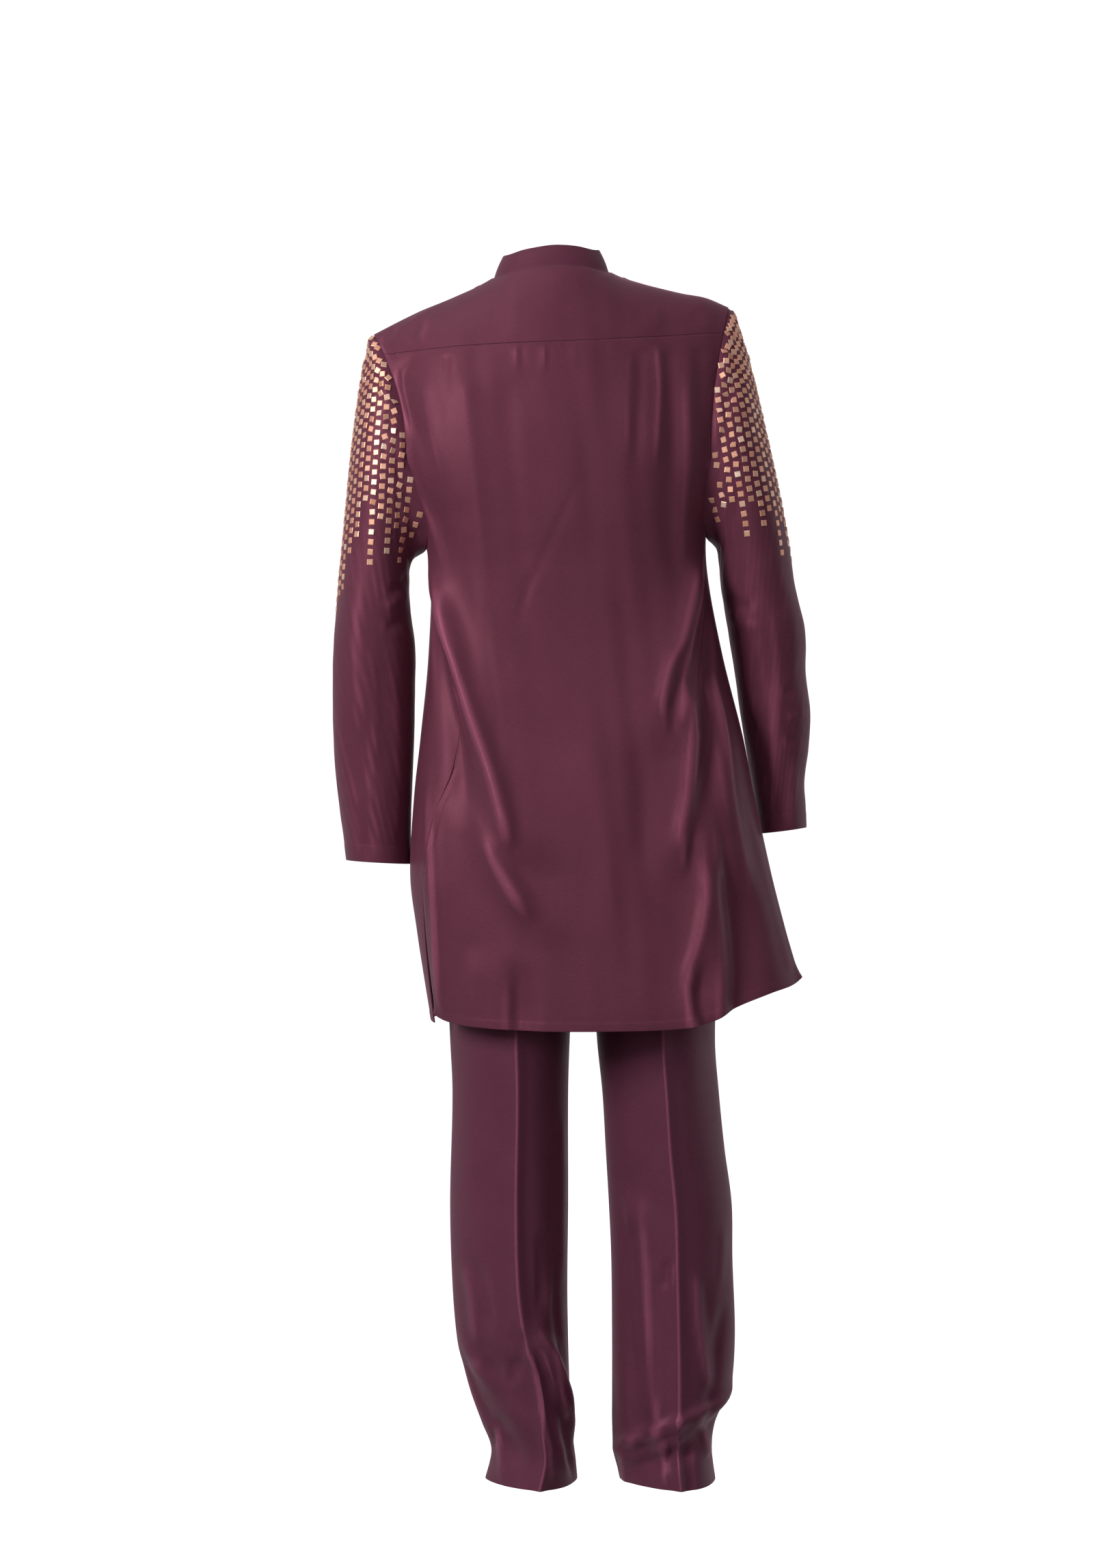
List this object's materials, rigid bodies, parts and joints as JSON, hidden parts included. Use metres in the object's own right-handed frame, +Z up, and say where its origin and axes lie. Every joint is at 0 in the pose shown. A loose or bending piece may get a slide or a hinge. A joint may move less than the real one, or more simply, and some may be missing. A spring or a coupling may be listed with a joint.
{
  "type": "kurta and straight trousers, worn",
  "caption": "Worn kurta with stand collar, back yoke, side slits and long sleeves with small metal squares, over straight creased trousers; hollow, with open neck, cuffs and hems.",
  "frame": {"origin": "middle of the neck at the level of the collar seam, where the wearer's neck and shoulders hold the garment", "axes": "+Z up, +Y towards the wearer's front, +X towards the wearer's right"},
  "size_m": [0.6043, 0.2739, 1.5505],
  "materials": {
    "wine_crepe": "satin-faced crepe with a soft sheen, pressed and stitched",
    "wine_button": "dyed to match, with a turned rim",
    "rose_metal": "small flat squares of rose-gold coloured metal, softly polished"
  },
  "bodies": {
    "root": {"kurta_back": "wine_crepe", "kurta_yoke": "wine_crepe", "kurta_front": "wine_crepe", "collar_band": "wine_crepe", "placket_strip": "wine_crepe", "sleeve_left": "wine_crepe", "sleeve_right": "wine_crepe", "trouser_back_left": "wine_crepe", "trouser_back_right": "wine_crepe", "trouser_front_left": "wine_crepe", "trouser_front_right": "wine_crepe", "trouser_waistband": "wine_crepe", "button_1": "wine_button", "button_2": "wine_button", "button_3": "wine_button", "button_4": "wine_button"}
  },
  "joints": []
}
